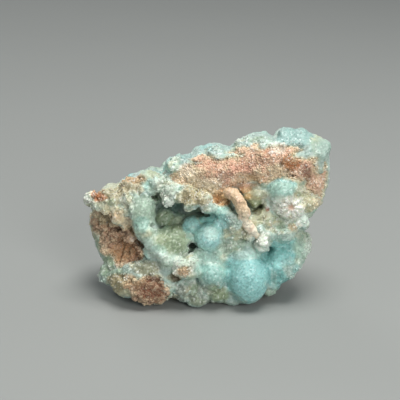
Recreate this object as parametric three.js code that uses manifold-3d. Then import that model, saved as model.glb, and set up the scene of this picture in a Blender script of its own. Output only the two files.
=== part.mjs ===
// Hemimorphite specimen: a broken lump of iron-stained host rock with a hollow in its front, overgrown by
// a crust of botryoidal hemimorphite, with the hollow's own lining and one thin stalactite that crosses
// its right-hand side.
// Millimetres, +Z up. The front, with the hollow, faces -Y. The lump rests on the plane z = 0.
import * as THREE from "three";
import { mergeVertices } from "three/addons/utils/BufferGeometryUtils.js";
import Module from "manifold-3d";

const wasm = await Module();
wasm.setup();

// ---- Driving dimensions ------------------------------------------------------------------------

const seam = 0.3; // clearance between two growths that touch
const skin = 1.1; // thickness of the plain sheet of druse between the balls
const facet = { rock: 3.4, hidden: 5.5, ball: 2.4 }; // edge lengths; hidden is rock under the crust
const roughness = { rock: 0.9, ball: 0.28 }; // height of the bumps on the surfaces
const shortEdge = 0.9; // crust facets narrower than this are merged into their neighbours
const fineEdge = 0.25; // the same on a surface that has to keep its seam
const rodEdge = 0.4; // and on the stalactite

// Lumps of rock. Squareness 2 is an ellipsoid, 4 nearly a block; turn is about Y, in degrees.
const rockLumps = [
  { at: [-2.5, 5, 18], half: [20.5, 11.5, 13.5], square: 2.4, edge: facet.hidden }, // core
  { at: [-0.5, 1.4, 5.5], half: [15.8, 10.6, 6.5], square: 3, edge: facet.hidden }, // base
  { at: [-15.6, -2.0, 7.2], half: [9.4, 9, 6.5], square: 2.4 }, // front left foot
  { at: [-14.3, -9.0, 5.6], half: [4.7, 4, 4.3], square: 2.4 }, // its rusty toe
  { at: [-20.0, 2.6, 16.2], half: [8.0, 8, 10.6], square: 2.4, turn: -8 }, // left wall
  { at: [-18.6, 0.5, 24.6], half: [10.2, 7.6, 4.6], square: 2.4, turn: -18 }, // left block
  { at: [2.0, -1.4, 33.0], half: [12.8, 7.0, 4.7], square: 3.0, turn: -13 }, // upper ledge
  { at: [17.4, -0.8, 35.7], half: [11.2, 7.6, 5.2], square: 3.2, turn: -4 }, // upper ledge, right half
  { at: [24, -0.8, 29.8], half: [4.6, 6, 8], square: 2.6, turn: 13 }, // right end
  { at: [15, 4, 20], half: [8.4, 9, 13], square: 2.4, edge: facet.hidden }, // right column
  { at: [9, 0, 8], half: [9.5, 8, 7.5], square: 2.4, edge: facet.hidden }, // right foot
];

const rockHollows = [
  { at: [-7, -7.2, 22.2], half: [9.4, 9.2, 6.6], square: 2.4, turn: 8 }, // the vug
  { at: [12.4, -7.6, 25.4], half: [3.2, 5, 3.2], square: 2 }, // pocket behind the stalactite
  { at: [3.2, -9.4, 28], half: [2.6, 3.4, 2.4], square: 2 }, // recess at the stalactite's root
  { at: [-24.8, -10.6, 17.4], half: [10.2, 7.8, 5.8], square: 2.2, turn: 36 }, // scooped left face
  { at: [-21.5, -9.0, 0], half: [6.6, 7, 3.0], square: 2.4 }, // undercut of the left foot
];

// Where the crust has broken away or never grew, so that bare rock shows.
const bareRock = [
  { at: [1.2, -10, 34.2], half: [13.4, 6, 4.3], square: 3, turn: -9 }, // face of the upper ledge, left half
  { at: [16, -10, 36.4], half: [12.2, 6, 5], square: 3, turn: -3 }, // its right half
  { at: [3.4, -10, 28.6], half: [3, 5, 3], square: 2.4 }, // recess at the stalactite's root
  { at: [26.8, -7, 31.2], half: [4.0, 6, 5.8], square: 2.4, turn: 8 }, // right end
  { at: [-22.9, -9, 17.3], half: [9.8, 8.5, 5.6], square: 2.4, turn: 38 }, // scooped left face
  { at: [-14.3, -15, 4.6], half: [5.4, 6.6, 4.8], square: 2.4 }, // rusty toe
  { at: [4, 16, 20], half: [9, 5, 7], square: 2.4, turn: 20 }, // broken patch on the back
];

// Small dark gaps between the balls.
const crustGaps = [
  { at: [-4.2, -8.0, 15.4], half: [1.6, 5.5, 1.9] },
  { at: [-12.6, -7.5, 27.2], half: [1.5, 4.5, 1.3] },
  { at: [8.3, -9.8, 16.8], half: [0.9, 3.5, 1.2] },
];

// The part of the rock's surface that belongs to the hollow's own lining.
const vugRoom = { at: [-7, -5, 21.9], half: [10.2, 9.8, 7.5], square: 2.4, turn: 8 };

// Botryoidal balls of the crust: [x, y, z, half-width, half-depth, half-height, turn about Y in degrees,
// squareness], the last two only where they aren't 0 and 2.
const lowerRightBalls = [
  [9.8, -9.8, 7.7, 5.1, 5.2, 6.9], // the big ball
  [1.2, -10.6, 9.3, 3.7, 3.8, 3.7],
  [-1.5, -9, 13.7, 2.8, 2.8, 2.5],
  [3.6, -8.8, 13.4, 3.2, 3.0, 3.0],
  [9.4, -8.4, 13.6, 3.6, 3.2, 3.0], // the druse above the big ball
  [18.8, -4.2, 10.8, 4.5, 6.0, 7.5, 38, 2.5], // the mass at the right, broken across its needles
  [22.6, -1.8, 13.8, 3.4, 4.2, 3.2],
  [15.5, -6.0, 4.8, 3.0, 3.4, 3.4],
  [19.0, -5.8, 17.8, 4.4, 3.2, 3.0],
  [13.6, -8.9, 17.2, 1.9, 2.4, 4.0, 22], // the white ridge
  [16.6, -7.0, 16.4, 2.2, 2.4, 2.0],
  [6.0, -9.0, 16.0, 2.1, 2.4, 2.0],
];

const rightBalls = [
  [18.2, -7.6, 29.8, 4.3, 3.4, 3.7],
  [20.2, -8.2, 25.9, 3.6, 3.2, 3.2],
  [24.2, -4.4, 26.8, 3.1, 3.6, 4.1],
  [14.0, -7.0, 22.6, 3.3, 2.9, 2.6],
  [18.8, -6.2, 21.6, 3.8, 2.9, 2.6],
  [21.8, -4.2, 20.9, 2.4, 2.8, 2.4],
  [16.2, -7.0, 25.2, 2.2, 2.2, 2.0],
  [12.0, -5.8, 28.4, 2.0, 2.2, 1.8],
  [8.7, -7.6, 30.3, 1.6, 1.7, 1.5], // two small knobs beside the stalactite
  [9.6, -7.4, 28.2, 1.7, 1.8, 1.5],
];

const fringeBalls = [
  [-12.6, -6.4, 31.0, 2.6, 2.4, 2.1],
  [-8.6, -7.6, 29.6, 3.1, 2.7, 2.6],
  [-9.8, -9.3, 28.0, 1.7, 1.8, 1.7],
  [-4.8, -8.2, 29.2, 2.7, 2.4, 2.3],
  [-4.1, -8.9, 27.0, 1.8, 2.0, 1.6],
  [-1.4, -8.6, 28.3, 2.4, 2.3, 2.1],
  [0.2, -8.8, 26.2, 1.9, 2.0, 1.6],
  [3.6, -8.4, 24.7, 2.3, 2.3, 1.8],
  [6.9, -8.8, 23.2, 2.3, 2.4, 2.1],
  [6.2, -9.2, 20.8, 2.3, 2.4, 2.0],
  [5.4, -8.6, 18.4, 2.3, 2.6, 2.0],
  [9.0, -8.4, 18.6, 2.6, 2.6, 2.4],
  [10.4, -7.6, 22.0, 2.4, 2.4, 2.2],
];

const pillarBalls = [
  [-18.3, -6.2, 27.4, 3.2, 2.8, 2.7],
  [-16.3, -7.2, 24.0, 3.5, 3.6, 5.0],
  [-19.4, -6.0, 24.4, 3.0, 2.6, 3.0],
  [-15.2, -8.5, 19.9, 3.2, 3.2, 3.8, -24],
  [-12.9, -9.6, 16.9, 3.0, 3.0, 3.5, -36],
  [-10.2, -10.5, 14.0, 3.0, 3.0, 3.3, -40],
  [-8.2, -8.2, 16.8, 5.0, 4.2, 4.1],
  [-14.8, -6.8, 29.2, 2.4, 2.2, 2.0],
  [-5.1, -11.2, 11.3, 3.4, 2.9, 3.1, 0, 2.4],
  [-13.6, -9.4, 10.6, 4.2, 2.8, 2.2],
];

const leftBalls = [
  [-29.0, -1.4, 25.8, 1.8, 2.0, 1.7], // the tip
  [-26.2, -3.2, 25.6, 2.6, 2.4, 2.4],
  [-22.6, -4.6, 26.4, 3.2, 2.8, 3.0],
  [-18.9, -3.8, 29.7, 3.2, 2.8, 2.3],
  [-14.2, -3.6, 31.4, 3.2, 2.8, 2.3],
  [-27.0, -3.4, 24.0, 1.7, 1.8, 1.4], // the overhang of the scooped face
  [-24.4, -5.2, 23.2, 1.9, 1.9, 1.4],
  [-21.8, -6.4, 21.9, 2.1, 1.9, 1.6],
  [-27.3, 0.6, 20.6, 1.8, 2.6, 3.2],
  [-26.0, 0.4, 14.6, 1.8, 2.7, 3.4, -16],
];

const crestBalls = [
  [-7.8, -4.4, 35.4, 2.8, 2.7, 1.9],
  [-3.0, -4.0, 36.8, 3.0, 2.9, 1.9],
  [2.4, -3.6, 37.5, 3.6, 3.0, 2.1],
  [8.6, -2.6, 38.9, 3.2, 3.1, 2.0],
  [13.0, -2.2, 39.9, 3.2, 3.1, 2.2],
  [18.4, -1.6, 41.0, 3.4, 3.4, 2.9],
  [22.8, -1.4, 40.5, 3.5, 3.4, 3.0],
  [26.8, -1.2, 38.4, 3.3, 3.2, 2.9],
  [27.6, -1.6, 34.8, 1.8, 2.6, 2.4],
];

const footBalls = [
  [-24.6, -4.6, 6.6, 2.8, 2.8, 3.0],
  [-20.6, -7.2, 5.6, 2.8, 2.5, 2.6],
  [-10.0, -9.8, 6.0, 2.3, 2.5, 2.2],
  [-5.6, -10.2, 5.4, 3.2, 3.0, 2.9],
  [-2.8, -9.6, 2.2, 2.8, 2.7, 2.5],
  [2.6, -9.4, 4.0, 3.2, 3.0, 3.1],
  [6.4, -8.2, 2.0, 2.8, 2.8, 2.5],
];

// Balls inside the vug, on its back wall and floor.
const vugBalls = [
  [0.2, -8.2, 17.9, 3.8, 3.8, 3.7], // the bright ball at the mouth
  [-3.9, -5.8, 19.6, 2.8, 2.8, 2.7],
  [1.4, -4.2, 21.0, 3.2, 2.8, 2.5],
  [-7.6, -2.5, 19.5, 2.7, 2.5, 2.5],
  [-10.9, -1.9, 20.7, 2.6, 2.6, 2.6],
];

// Balls over the back, the sides and the top: golden-angle steps round the lump, each seated where a ray
// from outside meets the rock.
const scatter = {
  count: 34,
  centre: [0, 2, 19],
  reach: 70, // a start point well outside the lump
  frontLimit: 1.5, // balls only where the surface lies further back than this y
  lowest: 2,
  radius: [4.0, 6.0],
  flatness: 0.85,
  sink: 0.55, // share of the radius that lies under the rock's surface
  crest: 25, // above this height the balls are smaller, and lie deeper
  crestShare: 0.66,
  crestSink: 0.8,
};

// The stalactite: its two lengths, each a list of points from the top down, with the radius at the middle.
const stalactiteLengths = [
  { points: [[4.4, -6.4, 30.4], [5.6, -8.8, 29.2], [7.3, -10.0, 27.2], [9.0, -10.4, 24.6]], radius: 1.35 },
  { points: [[8.7, -10.4, 24.4], [9.6, -10.5, 22.4], [11.0, -10.2, 20.6], [12.4, -9.4, 19.2]], radius: 0.95 },
];

// ---- Solids ------------------------------------------------------------------------------------

// A repeatable number from 0 to 1 for a whole-number place.
function hash(x, y, z) {
  const n = Math.sin(x * 127.1 + y * 311.7 + z * 74.7) * 43758.5453;
  return n - Math.floor(n);
}

// Smooth bumps from -1 to 1, one unit wide.
function bumps(x, y, z) {
  const [ix, iy, iz] = [Math.floor(x), Math.floor(y), Math.floor(z)];
  const ease = (t) => t * t * (3 - 2 * t);
  const [u, v, w] = [ease(x - ix), ease(y - iy), ease(z - iz)];
  const row = (dy, dz) => THREE.MathUtils.lerp(hash(ix, iy + dy, iz + dz), hash(ix + 1, iy + dy, iz + dz), u);
  const sheet = (dz) => THREE.MathUtils.lerp(row(0, dz), row(1, dz), v);
  return THREE.MathUtils.lerp(sheet(0), sheet(1), w) * 2 - 1;
}

function solidOf(geometry) {
  const bare = geometry.clone();
  bare.deleteAttribute("normal");
  bare.deleteAttribute("uv");
  const merged = mergeVertices(bare);
  return new wasm.Manifold(
    new wasm.Mesh({
      numProp: 3,
      vertProperties: merged.attributes.position.array,
      triVerts: new Uint32Array(merged.index.array),
    }),
  );
}

const join = (solids) => wasm.Manifold.union(solids);

// The largest body, without the crumbs that a cut leaves.
function largest(solid) {
  return solid.decompose().reduce((best, body) => (body.volume() > best.volume() ? body : best));
}

// A rounded lump with a bumpy surface. grow moves its whole surface outwards, or inwards if negative.
function lump({ at, half, square = 2, turn = 0 }, grow, edge, rough) {
  const mean = (half[0] + half[1] + half[2]) / 3;
  const detail = Math.max(1, Math.round((1.05 * mean) / edge) - 1);
  const bare = new THREE.IcosahedronGeometry(1, detail);
  bare.deleteAttribute("normal");
  bare.deleteAttribute("uv");
  const ball = mergeVertices(bare);
  const places = ball.attributes.position;
  const way = new THREE.Vector3();
  const centre = new THREE.Vector3(...at);
  const spin = new THREE.Quaternion().setFromEuler(new THREE.Euler(0, THREE.MathUtils.degToRad(turn), 0));
  const sizes = new THREE.Vector3(...half);
  for (let i = 0; i < places.count; i++) {
    way.fromBufferAttribute(places, i);
    const out = way.clone().applyQuaternion(spin);
    const powers = way.toArray().map((part) => Math.abs(part) ** square);
    const reach = (powers[0] + powers[1] + powers[2]) ** (-1 / square);
    const place = way.multiply(sizes).multiplyScalar(reach).applyQuaternion(spin).add(centre);
    const wide = bumps(...place.clone().divideScalar(4.3).toArray());
    const fine = bumps(...place.clone().divideScalar(2.1).toArray());
    const height = rough * (wide + 0.5 * fine);
    place.addScaledVector(out, height + grow);
    places.setXYZ(i, place.x, place.y, place.z);
  }
  return solidOf(ball);
}

const rockPiece = (one, grow) => lump(one, grow, one.edge ?? facet.rock, roughness.rock);
const rockPieces = (list, grow) => join(list.map((one) => rockPiece(one, grow)));

// The rock with its hollows, its whole surface moved outwards by grow.
const rockShape = (grow) => rockPieces(rockLumps, grow).subtract(rockPieces(rockHollows, -grow));

function ballShape([x, y, z, across, deep, high, turn = 0, square = 2], grow) {
  return lump({ at: [x, y, z], half: [across, deep, high], turn, square }, grow, facet.ball, roughness.ball);
}

// Everything below the plane that the specimen rests on.
function underFloor() {
  const size = 200;
  const slab = new THREE.BoxGeometry(size, size, size);
  slab.translate(0, 0, -size / 2);
  return solidOf(slab);
}

function geometryOf(solid) {
  const { vertProperties, triVerts, numProp } = solid.getMesh();
  const geometry = new THREE.BufferGeometry();
  const places = new Float32Array((vertProperties.length / numProp) * 3);
  for (let i = 0; i < places.length / 3; i++) {
    places.set(vertProperties.subarray(i * numProp, i * numProp + 3), i * 3);
  }
  geometry.setAttribute("position", new THREE.BufferAttribute(places, 3));
  geometry.setIndex(new THREE.BufferAttribute(new Uint32Array(triVerts), 1));
  return geometry;
}

// The solid again with the slivers along its creases gone: an edge shorter than the limit shrinks to its
// middle wherever the surface round it stays closed and no face there turns over.
function withoutSlivers(solid, limit) {
  const geometry = geometryOf(solid);
  const places = geometry.attributes.position;
  const pointAt = (i) => new THREE.Vector3().fromBufferAttribute(places, i);
  const points = Array.from({ length: places.count }, (_, i) => pointAt(i));
  const index = geometry.index.array;
  const faces = Array.from({ length: index.length / 3 }, (_, i) => [...index.subarray(i * 3, i * 3 + 3)]);
  const facesAt = points.map(() => new Set());
  faces.forEach((face, i) => face.forEach((corner) => facesAt[corner].add(i)));
  const normalOf = (corners) => {
    const [a, b, c] = corners;
    return new THREE.Vector3().subVectors(b, a).cross(new THREE.Vector3().subVectors(c, a)).normalize();
  };
  const neighbours = (corner) => new Set([...facesAt[corner]].flatMap((i) => faces[i]));
  const shrink = (from, to) => {
    const [near, far] = [neighbours(from), neighbours(to)];
    const shared = [...near].filter((corner) => far.has(corner)); // the edge's own ends and two more
    if (shared.length !== 4) return;
    const middle = points[from].clone().lerp(points[to], 0.5);
    const moved = (corner) => (corner === from || corner === to ? middle : points[corner]);
    const goes = (i) => faces[i].includes(from) && faces[i].includes(to);
    const kept = [...facesAt[from], ...facesAt[to]].filter((i) => !goes(i));
    const turned = (i) => normalOf(faces[i].map((c) => points[c])).dot(normalOf(faces[i].map(moved))) < 0.4;
    if (kept.some(turned)) return;
    for (const i of [...facesAt[from]]) {
      if (faces[i].includes(to)) {
        faces[i].forEach((corner) => facesAt[corner].delete(i));
        faces[i] = [];
      } else {
        faces[i] = faces[i].map((corner) => (corner === from ? to : corner));
        facesAt[to].add(i);
      }
    }
    facesAt[from].clear();
    points[to].copy(middle);
  };
  for (const share of [0.3, 0.6, 1]) {
    for (const i of faces.keys()) {
      for (const side of [0, 1, 2]) {
        const [from, to] = [faces[i][side], faces[i][(side + 1) % 3]];
        if (faces[i].length && points[from].distanceTo(points[to]) < limit * share) shrink(from, to);
      }
    }
  }
  places.array.set(points.flatMap((point) => point.toArray()));
  geometry.setIndex(faces.flat());
  return solidOf(geometry);
}

function meshOf(name, solid, material) {
  const geometry = geometryOf(solid);
  geometry.computeVertexNormals();
  const mesh = new THREE.Mesh(geometry, material);
  mesh.name = name;
  return mesh;
}

// The balls on the back, sides and top, as [x, y, z, half-sizes] rows.
function scatteredBalls(rockMesh) {
  const rows = [];
  const caster = new THREE.Raycaster();
  const centre = new THREE.Vector3(...scatter.centre);
  const goldenAngle = Math.PI * (3 - Math.sqrt(5));
  for (let i = 0; i < scatter.count; i++) {
    const rise = 1 - (2 * (i + 0.5)) / scatter.count;
    const round = Math.sqrt(1 - rise * rise);
    const way = new THREE.Vector3(Math.cos(i * goldenAngle) * round, Math.sin(i * goldenAngle) * round, rise);
    caster.set(centre.clone().addScaledVector(way, scatter.reach), way.clone().negate());
    const hit = caster.intersectObject(rockMesh)[0];
    if (!hit || hit.point.y < scatter.frontLimit || hit.point.z < scatter.lowest) continue;
    const full = THREE.MathUtils.lerp(...scatter.radius, hash(i, 3, 7));
    const onCrest = hit.point.z > scatter.crest;
    const radius = onCrest ? full * scatter.crestShare : full;
    const sink = onCrest ? scatter.crestSink : scatter.sink;
    const seat = hit.point.addScaledVector(hit.face.normal, -radius * sink);
    rows.push([seat.x, seat.y, seat.z, radius, radius * scatter.flatness, radius]);
  }
  return rows;
}

const floor = underFloor();
const rock = withoutSlivers(rockShape(0), fineEdge).subtract(floor);
const rockGrown = withoutSlivers(rockShape(seam), fineEdge);

const materials = {
  rock: new THREE.MeshStandardMaterial({ color: 0xb48f74, roughness: 0.95, metalness: 0 }),
  crust: new THREE.MeshStandardMaterial({ color: 0x9ccac0, roughness: 0.5, metalness: 0 }),
  lining: new THREE.MeshStandardMaterial({ color: 0x86b8ab, roughness: 0.5, metalness: 0 }),
  stalactite: new THREE.MeshStandardMaterial({ color: 0xd9bd9b, roughness: 0.8, metalness: 0 }),
};

const rockMesh = meshOf("matrix", largest(rock), materials.rock);

const crustBalls = [
  ...lowerRightBalls,
  ...rightBalls,
  ...fringeBalls,
  ...pillarBalls,
  ...leftBalls,
  ...crestBalls,
  ...footBalls,
  ...scatteredBalls(rockMesh),
];

const joinedBalls = (rows, grow) => join(rows.map((row) => ballShape(row, grow)));

function crustShape(grow) {
  const sheet = rockShape(skin + grow).subtract(rockPieces([...bareRock, vugRoom], -grow));
  return sheet.add(joinedBalls(crustBalls, grow)).subtract(rockPieces(crustGaps, -grow));
}

// One closed tube along each of the stalactite's lengths, with a rounded lump at each end.
function stalactiteShape(grow) {
  const sides = 8;
  const tubes = stalactiteLengths.flatMap(({ points, radius }) => {
    const line = new THREE.CatmullRomCurve3(points.map((p) => new THREE.Vector3(...p)));
    const ring = new THREE.Shape(
      Array.from({ length: sides }, (_, i) => {
        const turn = (i / sides) * 2 * Math.PI;
        return new THREE.Vector2(Math.cos(turn), Math.sin(turn)).multiplyScalar(radius + grow);
      }),
    );
    const tube = new THREE.ExtrudeGeometry(ring, { extrudePath: line, steps: 5, bevelEnabled: false });
    const ends = [points[0], points.at(-1)].map((p) => ballShape([...p, radius, radius, radius], grow));
    return [solidOf(tube), ...ends];
  });
  return join(tubes);
}

const stalactite = withoutSlivers(stalactiteShape(0), rodEdge).subtract(rockGrown);
const crust = withoutSlivers(crustShape(0), shortEdge)
  .subtract(rockGrown)
  .subtract(stalactiteShape(seam))
  .subtract(floor);

const liningSheet = rockShape(skin).intersect(rockPieces([vugRoom], 0));
const lining = withoutSlivers(liningSheet.add(joinedBalls(vugBalls, 0)), shortEdge)
  .subtract(rockGrown)
  .subtract(crustShape(seam + fineEdge))
  .subtract(stalactiteShape(seam));

const specimen = new THREE.Group();
specimen.add(
  rockMesh,
  meshOf("hemimorphite_crust", largest(crust), materials.crust),
  meshOf("vug_lining", largest(lining), materials.lining),
  meshOf("stalactite", largest(stalactite), materials.stalactite),
);

// The origin is the middle of the specimen's footprint, on the plane that it rests on.
const box = new THREE.Box3().setFromObject(specimen);
const middle = box.getCenter(new THREE.Vector3());
specimen.position.set(-middle.x, -middle.y, -box.min.z);

export default specimen;
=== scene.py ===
import itertools
import math

import bmesh
import bpy
import numpy as np
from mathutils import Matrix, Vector
from mathutils.bvhtree import BVHTree


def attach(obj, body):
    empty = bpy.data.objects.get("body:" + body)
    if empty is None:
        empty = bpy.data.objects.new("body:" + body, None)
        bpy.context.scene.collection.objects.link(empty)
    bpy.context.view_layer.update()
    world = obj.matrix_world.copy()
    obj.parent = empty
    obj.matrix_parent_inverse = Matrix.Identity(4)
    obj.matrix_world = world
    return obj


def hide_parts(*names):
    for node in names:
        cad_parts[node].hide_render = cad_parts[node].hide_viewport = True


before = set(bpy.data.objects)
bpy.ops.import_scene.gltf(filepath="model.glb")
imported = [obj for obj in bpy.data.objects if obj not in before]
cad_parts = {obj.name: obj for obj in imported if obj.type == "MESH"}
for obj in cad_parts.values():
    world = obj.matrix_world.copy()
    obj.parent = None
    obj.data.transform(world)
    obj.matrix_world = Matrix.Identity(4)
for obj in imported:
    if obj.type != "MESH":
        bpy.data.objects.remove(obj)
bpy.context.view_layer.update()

mm = 0.001
scene = bpy.context.scene
chance = np.random.default_rng(41)  # one seeded source for every scatter below

# camera, floor and lamps

view = {
    "lookAt": (-1.71, -1.34, 24.6),  # mm
    "away": 277.8,
    "rise": 20,  # degrees above the floor
    "lens": 100,
}

studio = {
    "floorSize": 4.0,  # m
    "floorGrey": (0.284, 0.296, 0.287),
    "floorPaintedFalloff": (-0.06, 0.43, 1.05, 0.9),  # from this y to that (m), the grey is multiplied by these two: painted shade, darker towards the back
    "skyGrey": (0.93, 0.97, 1.0),
    "skyStrength": 0.34,
    "lamps": [
        # name, place (m), aim (m), width (m), watts, colour
        ("topLamp", (0.06, -0.06, 0.62), (0, 0, 0.02), 0.34, 3.5, (1.0, 0.985, 0.96)),
        ("frontLamp", (0.34, -0.68, 0.36), (0, 0, 0.02), 0.36, 3.0, (1.0, 0.99, 0.97)),
        ("backLamp", (-0.34, 0.62, 0.46), (0, 0, 0.02), 0.40, 0.9, (1.0, 0.99, 0.97)),
    ],
}


rise = math.radians(view["rise"])
lookAt = np.array(view["lookAt"])
towards = np.array([0, -math.cos(rise), math.sin(rise)])  # from the lump to the viewer
upwards = np.array([0, math.sin(rise), math.cos(rise)])


def aimed(thing, place, target):
    thing.location = place
    thing.rotation_euler = (Vector(target) - Vector(place)).to_track_quat("-Z", "Y").to_euler()
    scene.collection.objects.link(thing)


def makeStudio():
    target = Vector(lookAt) * mm
    lens = bpy.data.cameras.new("camera")
    lens.lens = view["lens"]
    lens.sensor_width = 36
    lens.clip_start, lens.clip_end = 0.01, 20
    camera = bpy.data.objects.new("camera", lens)
    aimed(camera, target + Vector(towards) * view["away"] * mm, target)
    scene.camera = camera
    for name, place, target, width, watts, colour in studio["lamps"]:
        lamp = bpy.data.lights.new(name, "AREA")
        lamp.shape = "DISK"
        lamp.size = width
        lamp.energy = watts
        lamp.color = colour
        aimed(bpy.data.objects.new(name, lamp), place, target)
    sky = bpy.data.worlds.new("softSky")
    sky.use_nodes = True
    background = sky.node_tree.nodes["Background"].inputs
    background["Color"].default_value = (*studio["skyGrey"], 1)
    background["Strength"].default_value = studio["skyStrength"]
    scene.world = sky
    scene.view_settings.view_transform = "Standard"


makeStudio()
print("studio ready")

# working on meshes as arrays of millimetres


def arraysOf(mesh):
    spots = np.empty(len(mesh.vertices) * 3)
    mesh.vertices.foreach_get("co", spots)
    mesh.calc_loop_triangles()
    tris = np.empty(len(mesh.loop_triangles) * 3, np.int32)
    mesh.loop_triangles.foreach_get("vertices", tris)
    return spots.reshape(-1, 3), tris.reshape(-1, 3).astype(np.int64)


def nodeArrays(name):
    spots, tris = arraysOf(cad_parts[name].data)
    welded, index = np.unique(np.round(spots / mm, 4), axis=0, return_inverse=True)
    tris = index.reshape(-1)[tris]
    whole = (tris[:, 0] != tris[:, 1]) & (tris[:, 1] != tris[:, 2]) & (tris[:, 2] != tris[:, 0])
    return welded, tris[whole]


def unit(ways):
    return ways / np.maximum(np.linalg.norm(ways, axis=1, keepdims=True), 1e-9)


def normalsOf(spots, tris):
    a, b, c = (spots[tris[:, i]] for i in range(3))
    across = np.cross(b - a, c - a)
    total = np.zeros_like(spots)
    for axis in range(3):
        for corner in range(3):
            total[:, axis] += np.bincount(tris[:, corner], across[:, axis], len(spots))
    return unit(total)


def joined(parts):
    spots, tris, start = [], [], 0
    for partSpots, partTris in parts:
        spots.append(partSpots)
        tris.append(partTris + start)
        start += len(partSpots)
    return np.concatenate(spots), np.concatenate(tris)


def meshFrom(name, spots, faces, scale=mm):
    mesh = bpy.data.meshes.new(name)
    mesh.from_pydata((spots * scale).tolist(), [], faces.tolist(), shade_flat=False)
    mesh.validate()
    mesh.update()
    return mesh


def remeshed(spots, tris, voxel):
    thing = bpy.data.objects.new("work", meshFrom("work", spots, tris, 1))
    scene.collection.objects.link(thing)
    fuse = thing.modifiers.new("fuse", "REMESH")
    fuse.mode = "VOXEL"
    fuse.voxel_size = voxel
    fuse.adaptivity = 0
    bpy.context.view_layer.update()
    fused = thing.evaluated_get(bpy.context.evaluated_depsgraph_get())
    made = bpy.data.meshes.new_from_object(fused)
    bpy.data.objects.remove(thing)
    return arraysOf(made)


def largestIsland(spots, tris):
    label = np.arange(len(spots))
    while True:
        low = label[tris].min(1)
        fresh = label.copy()
        for corner in range(3):
            np.minimum.at(fresh, tris[:, corner], low)
        fresh = fresh[fresh]
        if (fresh == label).all():
            break
        label = fresh
    names, sizes = np.unique(label[tris[:, 0]], return_counts=True)
    kept = tris[label[tris[:, 0]] == names[sizes.argmax()]]
    used, index = np.unique(kept, return_inverse=True)
    return spots[used], index.reshape(-1, 3)


def smoothed(values, tris, rounds, share=0.5):
    sides = np.concatenate([tris[:, [0, 1]], tris[:, [1, 2]], tris[:, [2, 0]]])
    count = np.maximum(np.bincount(sides[:, 0], minlength=len(values)), 1)
    values = values.reshape(len(values), -1).copy()
    for _ in range(rounds):
        for axis in range(values.shape[1]):
            mean = np.bincount(sides[:, 0], values[sides[:, 1], axis], len(values)) / count
            values[:, axis] += share * (mean - values[:, axis])
    return values


def ballArrays():
    shape = bmesh.new()
    bmesh.ops.create_icosphere(shape, subdivisions=3, radius=1)
    mesh = bpy.data.meshes.new("ball")
    shape.to_mesh(mesh)
    shape.free()
    return arraysOf(mesh)


def treeOf(spots, tris):
    return BVHTree.FromPolygons(spots.tolist(), tris.tolist())


def distanceTo(tree, spots):
    return np.array([tree.find_nearest(spot)[3] for spot in spots.tolist()])


# repeatable noise


def mixed(cell, salt):
    x, y, z = (cell[:, i].astype(np.int64) for i in range(3))
    n = (x * 73856093) ^ (y * 19349663) ^ (z * 83492791) ^ (salt * 668265263 + 374761393)
    n = ((n ^ (n >> 13)) * 1274126177) & 0x7FFFFFFF
    n = ((n ^ (n >> 15)) * 461845907) & 0x7FFFFFFF
    return (n >> 7) / float(1 << 24)


def softNoise(spots, size, salt):  # -1 to 1, one bump about as wide as size
    at = spots / size + 100.5
    base = np.floor(at)
    part = at - base
    part = part * part * (3 - 2 * part)
    total = np.zeros(len(spots))
    for corner in itertools.product((0, 1), repeat=3):
        weight = np.prod(np.where(corner, part, 1 - part), axis=1)
        total += weight * mixed(base + corner, salt)
    return total * 2 - 1


def roughNoise(spots, size, salt, layers=3):
    total, height = 0, 1
    for layer in range(layers):
        total = total + height * softNoise(spots, size / 2**layer, salt + layer)
        height *= 0.55
    return total


# distance to the nearest and the next seed, in sizes, and the nearest one's own number
def cellNoise(spots, size, salt):
    at = spots / size + 100.5
    base = np.floor(at)
    near = np.full(len(spots), 9.0)
    following = np.full(len(spots), 9.0)
    own = np.zeros(len(spots))
    for offset in itertools.product((-1, 0, 1), repeat=3):
        cell = base + offset
        seed = cell + 0.5 + 0.8 * (np.stack([mixed(cell, salt + i) for i in range(3)], 1) - 0.5)
        away = np.linalg.norm(at - seed, axis=1)
        closer = away < near
        following = np.where(closer, near, np.minimum(following, away))
        own = np.where(closer, mixed(cell, salt + 5), own)
        near = np.where(closer, away, near)
    return near, following, own


def domes(spots, size, salt):  # round knobs, 0 in the creases to 1 on top
    near, _, own = cellNoise(spots, size, salt)
    return np.sqrt(np.clip(1 - (near / 0.78) ** 2, 0, 1)) * (0.65 + 0.35 * own)


def ramp(value, start, end):
    t = np.clip((value - start) / (end - start), 0, 1)
    return t * t * (3 - 2 * t)


def seen(spots):  # where each spot lies on the plane that faces the viewer, mm right of and above lookAt
    away = spots - lookAt
    near = view["away"] / (view["away"] - away @ towards)
    return np.stack([away[:, 0], away @ upwards], 1) * near[:, None]


def landing(centre):  # the spot of the surface that the viewer sees at a point of that plane
    eye = lookAt + view["away"] * towards
    for lower in np.arange(*zoneEdges["above"]):
        aim = lookAt + np.array([centre[0], 0, 0]) + (centre[1] - lower) * upwards
        spot = bodyTree.ray_cast(Vector(eye), Vector(aim - eye).normalized())[0]
        if spot:
            return np.array(spot)
    return np.array(bodyTree.find_nearest(Vector(aim))[0])


zoneEdges = {
    "above": (0, 6, 0.4),  # a point this far above the outline still counts as on it; steps of the search, mm
    "waves": (2.5, 1.6),  # size and height of the waves in a zone's depth, mm
    "deep": (0.8, 1.5),  # depth, as a share of the smaller half-size, and what is added, mm
    "fading": 2.5,  # mm beyond that depth
}


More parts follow.
